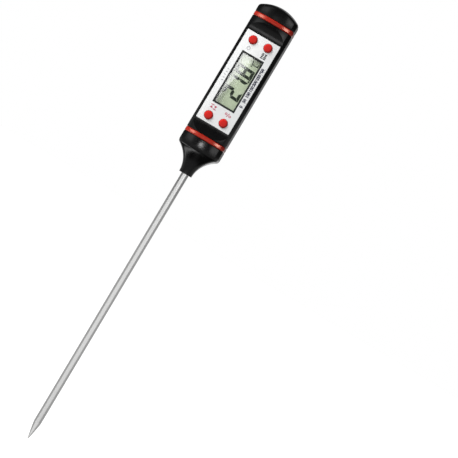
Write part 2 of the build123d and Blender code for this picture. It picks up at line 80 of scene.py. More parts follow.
HALF_WIDTH = body_high.x
HALF_DEPTH = body_high.y
CROWN_RADIUS = 24 * MM  # front and back of the handle's section
CORNER_RADIUS = 3 * MM
WALL = 1.5 * MM
RIM_ROUND = 0.25 * MM
RING_ROUND = 0.55 * MM
RING_STEPS = 8
PANEL_MIDDLE = (panel_low.z + panel_high.z) / 2
PANEL_FACE = panel_low.y


# ---------------------------------------------------------------- meshes

CROWN_STEPS = 28
CORNER_STEPS = 16
SIDE_STEPS = 6
SHARP_ANGLE = 24  # edges that turn by more degrees than this stay sharp
CUT_SHARP_ANGLE = 14  # the same, where a cutter has been


def quarter(
    inset=0.0, half_width=HALF_WIDTH, half_depth=HALF_DEPTH, crown=CROWN_RADIUS, corner=CORNER_RADIUS
):
    """The front right quarter of a crowned rounded rectangle, from the middle of its front."""
    half_width, half_depth = half_width - inset, half_depth - inset
    crown, corner = crown - inset, corner - inset
    centre = crown - half_depth
    turn = asin((half_width - corner) / (crown - corner))
    corner_y = centre - (crown - corner) * cos(turn)
    points = []
    for step in range(CROWN_STEPS):
        angle = turn * step / CROWN_STEPS
        points.append((crown * sin(angle), centre - crown * cos(angle)))
    for step in range(CORNER_STEPS + 1):
        angle = turn + (pi / 2 - turn) * step / CORNER_STEPS
        points.append((half_width - corner + corner * sin(angle), corner_y - corner * cos(angle)))
    for step in range(1, SIDE_STEPS + 1):
        points.append((half_width, corner_y * (1 - step / SIDE_STEPS)))
    return points


def closed(points):
    """The whole outline, anticlockwise from the middle of the front, from its front right quarter."""
    right = points + [(x, -y) for x, y in reversed(points[:-1])]
    return right + [(-x, y) for x, y in reversed(right[1:-1])]


def outline(inset=0.0, **shape):
    return closed(quarter(inset, **shape))


def at_height(points, z):
    return [Vector((x, y, z)) for x, y in points]


def loft(rows, wrap=False, sharp=SHARP_ANGLE):
    """A mesh through rings of points. A row of one point closes its end, and wrap joins the last row
    to the first."""
    bm = bmesh.new()
    rings = [[bm.verts.new(point) for point in row] for row in rows]
    if wrap:
        rings.append(rings[0])
    for below, above in zip(rings, rings[1:]):
        count = max(len(below), len(above))
        for i in range(count):
            j = (i + 1) % count
            if len(below) == 1:
                bm.faces.new((below[0], above[j], above[i]))
            elif len(above) == 1:
                bm.faces.new((below[i], below[j], above[0]))
            else:
                bm.faces.new((below[i], below[j], above[j], above[i]))
    return finished(bm, sharp)


def finished(bm, sharp=SHARP_ANGLE):
    """A smooth-shaded mesh from bm, with its normals outwards."""
    bmesh.ops.recalc_face_normals(bm, faces=bm.faces)
    mesh = bpy.data.meshes.new("mesh")
    bm.to_mesh(mesh)
    bm.free()
    mesh.shade_smooth()
    mesh.set_sharp_from_angle(angle=radians(sharp))
    return mesh


def edge_round(z, up, radius, steps=5):
    """(height, inset) pairs of a rounded edge that starts on the end face at z and runs up or down."""
    pairs = []
    for step in range(steps + 1):
        angle = pi / 2 * step / steps
        pairs.append((z + up * radius * (1 - cos(angle)), radius * (1 - sin(angle))))
    return pairs


def lathe(profile, centre=(0, 0, 0), axis="Z", segments=96, sharp=SHARP_ANGLE):
    """Turns (radius, distance along the axis) pairs about the axis."""
    rows = []
    for radius, along in profile:
        count = 1 if radius == 0 else segments
        row = []
        for step in range(count):
            angle = 2 * pi * step / segments
            x, y = radius * cos(angle), radius * sin(angle)
            point = (x, y, along) if axis == "Z" else (x, along, y)
            row.append(Vector(centre) + Vector(point))
        rows.append(row)
    return loft(rows, sharp=sharp)


def prisms(polygons, front, thickness):
    """Flat shapes that face the front: each polygon is (x, z) pairs, anticlockwise from the front."""
    bm = bmesh.new()
    for polygon in polygons:
        near = [bm.verts.new((x, front, z)) for x, z in polygon]
        far = [bm.verts.new((x, front + thickness, z)) for x, z in polygon]
        bm.faces.new(near)
        bm.faces.new(reversed(far))
        for i in range(len(near)):
            j = (i + 1) % len(near)
            bm.faces.new((near[j], near[i], far[i], far[j]))
    return finished(bm)


def box_mesh(low, high):
    bm = bmesh.new()
    bmesh.ops.create_cube(bm, size=1)
    size, middle = high - low, (high + low) / 2
    for vert in bm.verts:
        vert.co = Vector(co * length for co, length in zip(vert.co, size)) + middle
    return finished(bm)


def cut(obj, cutters):
    """Takes the cutter meshes out of obj's mesh."""
    for mesh in cutters:
        tool = bpy.data.objects.new("cutter", mesh)
        bpy.context.scene.collection.objects.link(tool)
        modifier = obj.modifiers.new("cut", "BOOLEAN")
        modifier.operation = "DIFFERENCE"
        modifier.solver = "EXACT"
        modifier.object = tool
        evaluated = obj.evaluated_get(bpy.context.evaluated_depsgraph_get())
        result = bpy.data.meshes.new_from_object(evaluated)
        obj.modifiers.clear()
        obj.data = result
        bpy.data.objects.remove(tool)
    obj.data.shade_smooth()
    obj.data.set_sharp_from_angle(angle=radians(CUT_SHARP_ANGLE))


def piece(name, mesh, body, slot, stands_for=()):
    """Adds a mesh as a piece that rides on a body, in its slot's material."""
    obj = bpy.data.objects.new(name, mesh)
    mesh.name = name
    bpy.context.scene.collection.objects.link(obj)
    mesh.materials.clear()
    mesh.materials.append(materials[slot])
    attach(obj, body)
    if stands_for:
        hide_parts(*stands_for)
    return obj


# ---------------------------------------------------------------- materials


def set_stops(ramp, stops):
    """Fills a colour ramp with (place, linear RGB) stops."""
    while len(ramp.elements) < len(stops):
        ramp.elements.new(0.5)
    for element, (place, colour) in zip(ramp.elements, stops):
        element.position = place
        element.color = (*colour, 1)


class Shader:
    """A Principled material whose colour, roughness and surface vary by noise at real sizes."""

    def __init__(self, name, **settings):
        self.material = bpy.data.materials.new(name)
        self.material.use_nodes = True
        self.nodes = self.material.node_tree.nodes
        self.links = self.material.node_tree.links
        self.principled = self.nodes["Principled BSDF"]
        for socket, value in settings.items():
            self.principled.inputs[socket.replace("_", " ")].default_value = value
        self.coordinates = self.nodes.new("ShaderNodeTexCoord").outputs["Object"]
        self.normal = None

    def noise(self, size, stretch=(1, 1, 1), detail=4.0, roughness=0.55):
        """Noise with features of that size in metres, made longer along each axis by stretch."""
        mapping = self.nodes.new("ShaderNodeMapping")
        mapping.inputs["Scale"].default_value = [1 / (size * longer) for longer in stretch]
        self.links.new(self.coordinates, mapping.inputs["Vector"])
        texture = self.nodes.new("ShaderNodeTexNoise")
        texture.inputs["Scale"].default_value = 1
        texture.inputs["Detail"].default_value = detail
        texture.inputs["Roughness"].default_value = roughness
        self.links.new(mapping.outputs["Vector"], texture.inputs["Vector"])
        return texture.outputs["Fac"]

    def colours(self, fac, stops):
        """The base colour, from (place, linear RGB) stops along fac."""
        node = self.nodes.new("ShaderNodeValToRGB")
        set_stops(node.color_ramp, stops)
        self.links.new(fac, node.inputs["Fac"])
        self.links.new(node.outputs["Color"], self.principled.inputs["Base Color"])

    def rough(self, fac, low, high):
        """Roughness from low to high where fac runs from 0.3 to 0.7."""
        ranged = self.nodes.new("ShaderNodeMapRange")
        ranged.inputs["From Min"].default_value = 0.3
        ranged.inputs["From Max"].default_value = 0.7
        ranged.inputs["To Min"].default_value = low
        ranged.inputs["To Max"].default_value = high
        self.links.new(fac, ranged.inputs["Value"])
        self.links.new(ranged.outputs["Result"], self.principled.inputs["Roughness"])

    def bump(self, fac, height, strength=1.0):
        """Relief of that height in metres. Calls add up."""
        node = self.nodes.new("ShaderNodeBump")
        node.inputs["Strength"].default_value = strength
        node.inputs["Distance"].default_value = height
        self.links.new(fac, node.inputs["Height"])
        if self.normal is not None:
            self.links.new(self.normal, node.inputs["Normal"])
        self.normal = node.outputs["Normal"]
        self.links.new(self.normal, self.principled.inputs["Normal"])


def shades(colour, spread):
    """Three stops round a colour, darker and lighter by spread."""
    darker = [channel * (1 - spread) for channel in colour]
    lighter = [min(1, channel * (1 + spread)) for channel in colour]
    return [(0.3, darker), (0.5, colour), (0.72, lighter)]


def moulded(name, colour, rough, spread=0.06, grain=0.35 * MM, relief=0.0015 * MM, **settings):
    """Moulded plastic: faint mottling, handling marks in the gloss and a fine skin texture."""
    shader = Shader(name, **settings)
    shader.colours(shader.noise(4 * MM), shades(colour, spread))
    shader.rough(shader.noise(2.5 * MM, stretch=(1, 1, 3)), rough * 0.8, rough * 1.3)
    shader.bump(shader.noise(grain, detail=2), relief)
    return shader.material


def drawn_metal(name, colour, rough, stretch, spread=0.05, relief=0.002 * MM, **settings):
    """Metal with fine parallel lines along the stretched axis."""
    shader = Shader(name, Metallic=1.0, **settings)
    lines = shader.noise(0.09 * MM, stretch=stretch, detail=3)
    shader.colours(shader.noise(3 * MM, stretch=stretch), shades(colour, spread))
    shader.rough(lines, rough * 0.85, rough * 1.2)
    shader.bump(lines, relief)
    return shader.material


WINDOW_TINTS = (0.96, 0.978, 0.96), (0.98, 0.992, 0.98)
SMEARS_PER_METRE = 260
HEAD_ON_SHARE = 0.09  # of the light, mirrored by both surfaces of a window that is seen head-on


def clear_window(name):
    """Clear acrylic: what is behind it shows through, and its two surfaces reflect, more at a slant."""
    material = bpy.data.materials.new(name)
    material.use_nodes = True
    nodes, links = material.node_tree.nodes, material.node_tree.links
    nodes.remove(nodes["Principled BSDF"])

    smears = nodes.new("ShaderNodeTexNoise")
    smears.inputs["Scale"].default_value = SMEARS_PER_METRE
    links.new(nodes.new("ShaderNodeTexCoord").outputs["Object"], smears.inputs["Vector"])

    through = nodes.new("ShaderNodeBsdfTransparent")
    tint = nodes.new("ShaderNodeValToRGB")
    set_stops(tint.color_ramp, list(zip((0, 1), WINDOW_TINTS)))
    links.new(smears.outputs["Fac"], tint.inputs["Fac"])
    links.new(tint.outputs["Color"], through.inputs["Color"])

    surface = nodes.new("ShaderNodeBsdfGlossy")
    surface.inputs["Color"].default_value = (1, 1, 1, 1)
    gloss = nodes.new("ShaderNodeMapRange")
    gloss.inputs["To Min"].default_value = 0.02
    gloss.inputs["To Max"].default_value = 0.07
    links.new(smears.outputs["Fac"], gloss.inputs["Value"])
    links.new(gloss.outputs["Result"], surface.inputs["Roughness"])
    ripple = nodes.new("ShaderNodeBump")
    ripple.inputs["Distance"].default_value = 0.0005 * MM
    links.new(smears.outputs["Fac"], ripple.inputs["Height"])
    links.new(ripple.outputs["Normal"], surface.inputs["Normal"])

    # Schlick's rule: the mirrored share grows with the fifth power of the slant
    facing = nodes.new("ShaderNodeLayerWeight")
    facing.inputs["Blend"].default_value = 0.5
    steep = nodes.new("ShaderNodeMath")
    steep.operation = "POWER"
    steep.inputs[1].default_value = 5
    share = nodes.new("ShaderNodeMapRange")
    share.inputs["To Min"].default_value = HEAD_ON_SHARE
    share.inputs["To Max"].default_value = 1.0
    links.new(facing.outputs["Facing"], steep.inputs[0])
    links.new(steep.outputs["Value"], share.inputs["Value"])

    mix = nodes.new("ShaderNodeMixShader")
    links.new(share.outputs["Result"], mix.inputs["Fac"])
    links.new(through.outputs["BSDF"], mix.inputs[1])
    links.new(surface.outputs["BSDF"], mix.inputs[2])
    links.new(mix.outputs["Shader"], nodes["Material Output"].inputs["Surface"])
    return material


def ring_plastic(name):
    """Red elastomer. Its gloss is tinted, as if light came back from just under the surface."""
    shader = Shader(name, IOR=1.9, Specular_Tint=(1, 0.55, 0.42, 1))
    shader.colours(shader.noise(1.2 * MM), shades((0.36, 0.018, 0.010), 0.14))
    shader.rough(shader.noise(0.8 * MM), 0.13, 0.21)
    shader.bump(shader.noise(0.3 * MM, detail=1), 0.001 * MM)
    return shader.material


def black_plastic(name):
    """Glossy black casing with a faint orange-peel surface and handling haze."""
    shader = Shader(name, IOR=1.5)
    shader.colours(shader.noise(6 * MM), shades((0.0034, 0.0034, 0.0036), 0.25))
    shader.rough(shader.noise(3 * MM, stretch=(1, 1, 2.5), detail=6), 0.13, 0.26)
    shader.bump(shader.noise(1.1 * MM, detail=1), 0.0035 * MM)
    shader.bump(shader.noise(0.12 * MM, detail=2), 0.0006 * MM)
    return shader.material


ALONG_STEM = (1, 1, 60)
materials = {
    "stem_steel": drawn_metal("stem_steel", (0.78, 0.78, 0.775), 0.26, ALONG_STEM, relief=0.0008 * MM),
    "sensor_epoxy": moulded("sensor_epoxy", (0.03, 0.03, 0.03), 0.3),
    "lead_insulation": moulded("lead_insulation", (0.68, 0.67, 0.62), 0.5),
    "collar_brass": drawn_metal("collar_brass", (0.71, 0.50, 0.20), 0.32, (1, 1, 8)),
    "potting_resin": moulded("potting_resin", (0.06, 0.05, 0.045), 0.2),
    "black_plastic": black_plastic("black_plastic"),
    "ring_red": ring_plastic("ring_red"),
    "panel_white": moulded("panel_white", (0.80, 0.81, 0.81), 0.07, spread=0.02, relief=0.0003 * MM, IOR=1.6),
    "bezel_black": moulded("bezel_black", (0.018, 0.021, 0.020), 0.35, spread=0.2),
    "window_clear": clear_window("window_clear"),
    "polarizer_film": moulded(
        "polarizer_film", (0.80, 0.87, 0.66), 0.6, spread=0.03, grain=0.2 * MM, Specular_IOR_Level=0.0
    ),
    "display_glass": clear_window("display_glass"),
    "reflector_film": drawn_metal("reflector_film", (0.60, 0.64, 0.55), 0.5, (1, 1, 3)),
    "connector_rubber": moulded("connector_rubber", (0.55, 0.22, 0.26), 0.7, spread=0.15),
    "holder_white": moulded("holder_white", (0.70, 0.70, 0.67), 0.45),
    "board_green": moulded("board_green", (0.015, 0.13, 0.05), 0.28, spread=0.2),
    "screw_steel": drawn_metal("screw_steel", (0.58, 0.58, 0.60), 0.28, (4, 1, 4)),
    "chip_resin": moulded("chip_resin", (0.012, 0.012, 0.012), 0.22),
    "component_ceramic": moulded("component_ceramic", (0.30, 0.21, 0.13), 0.5, spread=0.2),
    "keypad_silicone": moulded("keypad_silicone", (0.50, 0.50, 0.47), 0.6),
    "key_red": moulded("key_red", (0.66, 0.010, 0.005), 0.36, spread=0.08, grain=0.2 * MM),
    "cell_steel": drawn_metal("cell_steel", (0.70, 0.70, 0.69), 0.24, (3, 1, 3)),
    "contact_nickel": drawn_metal("contact_nickel", (0.66, 0.60, 0.50), 0.3, (1, 1, 6)),
    "solder": drawn_metal("solder", (0.62, 0.62, 0.63), 0.25, (1, 1, 1), spread=0.12),
    "carrier_black": moulded("carrier_black", (0.018, 0.018, 0.019), 0.42, spread=0.2, relief=0.004 * MM),
    "ink_black": moulded("ink_black", (0.010, 0.010, 0.012), 0.4, spread=0.2),
    "ink_grey": moulded("ink_grey", (0.40, 0.41, 0.43), 0.4, spread=0.05),
    "ink_pink": moulded("ink_pink", (0.52, 0.09, 0.14), 0.4, spread=0.1),
    "ink_navy": moulded("ink_navy", (0.008, 0.011, 0.045), 0.4, spread=0.2),
    "display_ink": moulded("display_ink", (0.020, 0.034, 0.018), 0.5, spread=0.3, Specular_IOR_Level=0.0),
}

for row in frame["record"]["subparts"]:
    node = frame["nodes"][row["node"]]
    node.data.materials.clear()
    node.data.materials.append(materials[row["material_slot"]])

# ---------------------------------------------------------------- body, rings, cap and nose

FLAT = -6.35 * MM  # y of the front flat
FLAT_END = 0.6 * MM  # flat beyond each end of the panel
SCOOP_LENGTH = 5.6 * MM
SCOOP_STEPS = 14
scoop_rise = HALF_DEPTH + FLAT
flat_low = panel_low.z - FLAT_END
flat_high = panel_high.z + FLAT_END


def front_profile():
    """(y, z) of the front cutter's inner side: a flat with a scoop that curves out at each end."""
    radius = (SCOOP_LENGTH**2 + scoop_rise**2) / (2 * scoop_rise)
    last = 2 * atan2(scoop_rise, SCOOP_LENGTH)
    upper = []
    for step in range(SCOOP_STEPS + 1):
        angle = last * step / SCOOP_STEPS
        upper.append((FLAT - radius * (1 - cos(angle)), flat_high + radius * sin(angle)))
    upper.append((-2 * HALF_DEPTH, upper[-1][1]))
    lower = [(y, flat_low + flat_high - z) for y, z in reversed(upper)]
    return lower + upper


def front_cutter():
    rows = []
    for x in (-2 * HALF_WIDTH, 2 * HALF_WIDTH):
        rows.append([Vector((x, y, z)) for y, z in front_profile()])
    middle = [Vector((row[0].x, -2 * HALF_DEPTH, PANEL_MIDDLE)) for row in rows]
    return loft([[middle[0]], *rows, [middle[1]]])


def rounded_prism(low, high, radius):
    """The handle's section from low to high, with both its ends rounded."""
    pairs = edge_round(low, 1, radius) + list(reversed(edge_round(high, -1, radius)))
    rows = [at_height(outline(inset), z) for z, inset in pairs]
    return loft([[Vector((0, 0, low))], *rows, [Vector((0, 0, high))]])


def bore(low, high):
    """The body's hollow: the section inside the wall, cut straight behind the front flat."""
    front = FLAT + WALL
    points = [(x, max(y, front)) for x, y in outline(WALL)]
    rows = [at_height(points, z) for z in (low, high)]
    return loft([[Vector((0, 0, low))], *rows, [Vector((0, 0, high))]])


OPENING = 0.05 * MM  # gap round the display frame
KEY_GAP = 0.15 * MM
KEY_RADIUS = 2.1 * MM
BEZEL_RIM_HALF = 5.95 * MM
BEZEL_FLANGE = 0.75 * MM
key_nodes = ("key_power", "key_hold", "key_minmax", "key_units")
# half the display rim's width, and its lowest and highest z, inside the flange
bezel_rim = Vector((BEZEL_RIM_HALF, bezel_low.z + BEZEL_FLANGE, bezel_high.z - BEZEL_FLANGE))


def middle_of(node):
    low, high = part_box(node)
    return (low + high) / 2


def body():
    """The rounded casing with its front flat, its hollow and the holes for the display and the keys."""
    obj = piece(
        "body_shell_moulding",
        rounded_prism(body_low.z, body_high.z, RIM_ROUND),
        "handle",
        "black_plastic",
        ["body_shell"],
    )
    margin = Vector((OPENING, 0, OPENING))
    seat = box_mesh(
        Vector((panel_low.x, 2 * FLAT, panel_low.z)) - margin,
        Vector((panel_high.x, panel_high.y, panel_high.z)) + margin,
    )
    opening = box_mesh(
        Vector((-bezel_rim.x, 2 * FLAT, bezel_rim.y)) - margin,
        Vector((bezel_rim.x, 0, bezel_rim.z)) + margin,
    )
    holes = []
    for name in key_nodes:
        place = middle_of(name)
        profile = (0, 2 * FLAT), (KEY_RADIUS + KEY_GAP, 2 * FLAT), (KEY_RADIUS + KEY_GAP, 0), (0, 0)
        holes.append(lathe(profile, (place.x, 0, place.z), axis="Y", segments=64))
    hollow = bore(body_low.z - MM, body_high.z + MM)
    cut(obj, [front_cutter(), hollow, seat, opening, *holes])


body()


def seal_ring(name, node, body_name):
    """A band as wide as the handle with rounded edges, hollow inside."""
    low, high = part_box(node)
    pairs = [
        (low.z, WALL),
        *edge_round(low.z, 1, RING_ROUND, RING_STEPS),
        *reversed(edge_round(high.z, -1, RING_ROUND, RING_STEPS)),
        (high.z, WALL),
    ]
    rows = [at_height(outline(inset), z) for z, inset in pairs]
    piece(name, loft(rows, wrap=True), body_name, "ring_red", [node])


seal_ring("lower_seal_ring", "nose_ring", "handle")
seal_ring("upper_seal_ring", "cap_ring", "cap")

CAP_DOME = 19 * MM  # radius of the crown of the cap
CAP_ROUND = 2 * MM
CAP_ROUND_STEPS = 10
CAP_DOME_STEPS = 20
SOCKET_DEPTH = 3.4 * MM
SOCKET_WALL = WALL + 1.5 * MM


def dome_rows():
    """Rows from the side of the cap, round its shoulder and over its dome, towards the middle."""
    centre = cap_high.z - CAP_DOME
    rows = []
    for step in range(CAP_ROUND_STEPS + 1):
        row = []
        for x, y in outline():
            reach = hypot(x, y)
            inner = sqrt((CAP_DOME - CAP_ROUND) ** 2 - (reach - CAP_ROUND) ** 2)
            last = atan2(inner, reach - CAP_ROUND)
            angle = last * step / CAP_ROUND_STEPS
            out = reach - CAP_ROUND + CAP_ROUND * cos(angle)
            row.append(Vector((x * out / reach, y * out / reach, centre + inner + CAP_ROUND * sin(angle))))
        rows.append(row)
    shoulder = rows[-1]
    for step in range(1, CAP_DOME_STEPS):
        share = 1 - step / CAP_DOME_STEPS
        row = []
        for point in shoulder:
            x, y = point.x * share, point.y * share
            row.append(Vector((x, y, centre + sqrt(CAP_DOME**2 - x * x - y * y))))
        rows.append(row)
    return rows + [[Vector((0, 0, cap_high.z))]]


def cap():
    """The domed end cap, with the socket underneath that its battery carrier fits in."""
    base = [at_height(outline(inset), z) for z, inset in edge_round(cap_low.z, 1, RIM_ROUND)]
    deep = cap_low.z + SOCKET_DEPTH
    socket = [at_height(outline(SOCKET_WALL), z) for z in (deep, cap_low.z)]
    rows = [[Vector((0, 0, deep))], *socket, *base, *dome_rows()]
    piece("end_cap_moulding", loft(rows), "cap", "black_plastic", ["end_cap"])


cap()

NOSE_SHOULDER = 12.5 * MM  # height where the flare reaches the handle's section
NOSE_END = 6.6 * MM  # width of the narrow end
NOSE_END_RISE = 0.35 * MM  # of its crowned sides, from their edges to their middles
NOSE_END_CORNER = 2.6 * MM
NOSE_TOP = ring_low.z
FLARE_ANGLE = radians(60)
FLARE_STEPS = 48
FLARE_ROWS = 46  # the last steps make way for the rounded shoulder
SHOULDER_ROUND = 1.6 * MM
MOUTH_DEPTH = 2 * MM
MOUTH_GAP = 0.02 * MM
STEM_RADIUS = tube_high.x


def nose_outline(reach):
    """The nose's section where the flare has gone that share of its way out to the handle's."""
    half_width = NOSE_END / 2 + (HALF_WIDTH - NOSE_END / 2) * reach
    half_depth = NOSE_END / 2 + (HALF_DEPTH - NOSE_END / 2) * reach
    full_rise = CROWN_RADIUS - sqrt(CROWN_RADIUS**2 - HALF_WIDTH**2)
    rise = NOSE_END_RISE + (full_rise - NOSE_END_RISE) * reach
    crown = (half_width**2 + rise**2) / (2 * rise)
    corner = NOSE_END_CORNER + (CORNER_RADIUS - NOSE_END_CORNER) * reach
    return outline(half_width=half_width, half_depth=half_depth, crown=crown, corner=corner)


def flare_row(share):
    """Height and section after that share of the flare's turn."""
    turn = FLARE_ANGLE * share
    reach = (1 - cos(turn)) / (1 - cos(FLARE_ANGLE))
    return NOSE_SHOULDER * sin(turn) / sin(FLARE_ANGLE), nose_outline(reach)


def blended_shoulder(before, corner, after, steps=8):
    """Rows of a smooth turn from one row to another, round the corner row between them."""
    rows = []
    for step in range(steps + 1):
        t = step / steps
        weights = (1 - t) ** 2, 2 * t * (1 - t), t * t
        row = []
        for points in zip(before, corner, after):
            row.append(sum((point * weight for point, weight in zip(points, weights)), Vector()))
        rows.append(row)
    return rows


def nose():
    """The flared nose, from the stem's mouth in its narrow end up to the lower ring."""
    flare = []
    for step in range(FLARE_ROWS):
        z, points = flare_row(step / FLARE_STEPS)
        flare.append(at_height(points, z))
    corner = at_height(outline(), NOSE_SHOULDER)
    wall = at_height(outline(), NOSE_SHOULDER + SHOULDER_ROUND)
    shoulder = blended_shoulder(flare[-1], corner, wall)
    top = [at_height(outline(inset), z) for z, inset in reversed(edge_round(NOSE_TOP, -1, RIM_ROUND))]
    directions = [point.normalized() for point in at_height(nose_outline(0), 0)]
    mouth = [direction * (STEM_RADIUS + MOUTH_GAP) for direction in directions]
    deep = [point + Vector((0, 0, MOUTH_DEPTH)) for point in mouth]
    first, last = [Vector((0, 0, MOUTH_DEPTH))], [Vector((0, 0, NOSE_TOP))]
    rows = [first, deep, mouth, *flare, *shoulder[1:], *top, last]
    piece("nose_moulding", loft(rows), "handle", "black_plastic", ["nose_cone"])


nose()

# ---------------------------------------------------------------- stem

TUBE_TOP = 0.3 * MM  # the redrawn tube ends just inside the nose's mouth
LIP = 0.03 * MM  # depth of the groove at the nose and of the tube's bevelled end
POINT_RADIUS = 0.25 * MM
POINT_STEPS = 8
TAPER_BULGE = 0.05 * MM
TAPER_STEPS = 24
STEM_SHARP_ANGLE = 40


def arc_through(start, middle, end, steps):
    """Points on the circle through three (radius, height) points."""
    (ax, ay), (bx, by), (cx, cy) = start, middle, end
    d = 2 * (ax * (by - cy) + bx * (cy - ay) + cx * (ay - by))
    a2, b2, c2 = ax * ax + ay * ay, bx * bx + by * by, cx * cx + cy * cy
    ux = (a2 * (by - cy) + b2 * (cy - ay) + c2 * (ay - by)) / d
    uy = (a2 * (cx - bx) + b2 * (ax - cx) + c2 * (bx - ax)) / d
    radius = hypot(ax - ux, ay - uy)
    first, last = atan2(ay - uy, ax - ux), atan2(cy - uy, cx - ux)
    points = []
    for step in range(steps + 1):
        angle = first + (last - first) * step / steps
        points.append((ux + radius * cos(angle), uy + radius * sin(angle)))
    return points


def stem():
    """The tube below the nose, and its ground point with a fine weld line between them."""
    tube = [
        (0, TUBE_TOP),
        (STEM_RADIUS - LIP, TUBE_TOP),
        (STEM_RADIUS - LIP, 0),
        (STEM_RADIUS, -LIP),
        (STEM_RADIUS, tube_low.z + LIP),
        (STEM_RADIUS - LIP / 2, tube_low.z),
        (0, tube_low.z),
    ]
    tube_mesh = lathe(tube, sharp=STEM_SHARP_ANGLE)
    piece("stem_tube_drawn", tube_mesh, "handle", "stem_steel", ["stem_tube"])
    end = (POINT_RADIUS, tip_low.z + POINT_RADIUS)
    middle = ((STEM_RADIUS + POINT_RADIUS) / 2 + TAPER_BULGE, (tube_low.z + tip_low.z) / 2)
    taper = arc_through((STEM_RADIUS, tube_low.z), middle, end, TAPER_STEPS)
    point = []
    for step in range(1, POINT_STEPS + 1):
        angle = pi / 2 * step / POINT_STEPS
        radius = POINT_RADIUS * cos(angle) if step < POINT_STEPS else 0
        point.append((radius, tip_low.z + POINT_RADIUS * (1 - sin(angle))))
    profile = [(0, tube_low.z), (STEM_RADIUS - LIP / 2, tube_low.z), *taper[1:], *point]
    point_mesh = lathe(profile, sharp=STEM_SHARP_ANGLE)
    piece("stem_point_ground", point_mesh, "handle", "stem_steel", ["stem_tip"])


stem()

# ---------------------------------------------------------------- keys

KEY_ROUND = 0.9 * MM
KEY_CROWN = 0.05 * MM
KEY_TRAVEL = 0.5 * MM
FACE_STEPS = 6
ROLL_STEPS = 10
FLANGE_RADIUS = 2.8 * MM
FLANGE_THICKNESS = 0.5 * MM
FLANGE_GAP = 0.1 * MM  # between the flange and the wall in front of it
POST_RADIUS = 1.2 * MM
POST_CUT = 0.9 * KEY_TRAVEL  # how much shorter the post is than the real one


def key(node, body_name):
    """A round key with a broad rolled edge, a flange behind the wall and a post. The post is shorter
    than the real one by nearly the key's travel, because the dome it presses can't be squashed here."""
    low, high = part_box(node)
    middle = (low + high) / 2
    flange_front = FLAT + WALL + FLANGE_GAP
    flange_back = flange_front + FLANGE_THICKNESS
    post_end = high.y - POST_CUT
    flat_radius = KEY_RADIUS - KEY_ROUND
    profile = [(0, low.y)]
    for step in range(1, FACE_STEPS + 1):
        radius = flat_radius * step / FACE_STEPS
        profile.append((radius, low.y + KEY_CROWN * (step / FACE_STEPS) ** 2))
    for step in range(1, ROLL_STEPS + 1):
        angle = pi / 2 * step / ROLL_STEPS
        depth = (KEY_ROUND - KEY_CROWN) * (1 - cos(angle))
        profile.append((flat_radius + KEY_ROUND * sin(angle), low.y + KEY_CROWN + depth))
    profile += [
        (KEY_RADIUS, flange_front),
        (FLANGE_RADIUS, flange_front),
        (FLANGE_RADIUS, flange_back),
        (POST_RADIUS, flange_back),
        (POST_RADIUS, post_end),
        (0, post_end),
    ]
    mesh = lathe(profile, (middle.x, 0, middle.z), axis="Y", segments=72)
    piece(f"{node}_cap", mesh, body_name, "key_red", [node])


for node in key_nodes:
    key(node, node.replace("key_", "") + "_key")

# ---------------------------------------------------------------- display

INK = 0.02 * MM  # how far everything printed stands out
INK_DEPTH = 1.5 * INK  # its whole thickness, with what is sunk into the surface
DIGIT_WIDTH = 4.9 * MM
DIGIT_HEIGHT = 9.2 * MM
DIGIT_STROKE = 1.5 * MM
DIGIT_GAP = 0.05 * MM
DIGIT_SLANT = tan(radians(4))
DIGIT_BASE = 4.55 * MM  # x of the line that the digits stand on
READOUT_START = PANEL_MIDDLE - 8.15 * MM
# The distances along the readout are from its start
DIGIT_STARTS = ("2", -0.6 * MM), ("1", 5.0 * MM), ("8", 11.2 * MM)
POINT_AT = 10.65 * MM
POINT_WIDTH = 0.75 * MM  # along the readout
POINT_HEIGHT = 0.9 * MM
DEGREE_AT = 18.0 * MM
DEGREE_X = 1.35 * MM
UNIT_START = 18.4 * MM
SEGMENTS = {"1": "BC", "2": "ABGED", "8": "ABCDEFG", "C": "AFED"}


def segment_shapes(width, height, stroke, gap):
    """The seven segments of a digit as mitred polygons, in (along, up) from its lower left corner."""
    half, middle = stroke / 2, height / 2

    def flipped(points, across=False, over=False):
        turned = [(width - a if across else a, height - b if over else b) for a, b in points]
        return list(reversed(turned)) if across != over else turned

    top = [
        (gap, height),
        (stroke + gap, height - stroke),
        (width - stroke - gap, height - stroke),
        (width - gap, height),
    ]
    upper_left = [
        (0, height - gap),
        (0, middle + gap),
        (half, middle + gap),
        (stroke, middle + half + gap),
        (stroke, height - stroke - gap),
    ]
    bar = [
        (half + gap, middle),
        (stroke + gap, middle - half),
        (width - stroke - gap, middle - half),
        (width - half - gap, middle),
        (width - stroke - gap, middle + half),
        (stroke + gap, middle + half),
    ]
    return {
        "A": top,
        "B": flipped(upper_left, across=True),
        "C": flipped(upper_left, across=True, over=True),
        "D": flipped(top, over=True),
        "E": flipped(upper_left, over=True),
        "F": upper_left,
        "G": bar,
    }


def stood_up(points, start, base):
    """(along, up) points turned to read upwards: along runs to +Z from start, and up to -X from base."""
    return [(base - up, start + along + up * DIGIT_SLANT) for along, up in points]


def digit(character, start, width=DIGIT_WIDTH, height=DIGIT_HEIGHT, stroke=DIGIT_STROKE):
    shapes = segment_shapes(width, height, stroke, DIGIT_GAP * height / DIGIT_HEIGHT)
    return [stood_up(shapes[letter], start, DIGIT_BASE) for letter in SEGMENTS[character]]


def ring_of_quads(centre, outer, inner, count=20):
    """A flat ring as quads, in (x, z)."""
    quads = []
    for step in range(count):
        a, b = (2 * pi * (step + k) / count for k in (0, 1))
        corners = [(outer, a), (outer, b), (inner, b), (inner, a)]
        quads.append([(centre[0] + r * cos(t), centre[1] + r * sin(t)) for r, t in corners])
    return quads


def rectangle(centre, width, height):
    x, z = centre
    w, h = width / 2, height / 2
    return [(x - w, z - h), (x + w, z - h), (x + w, z + h), (x - w, z + h)]


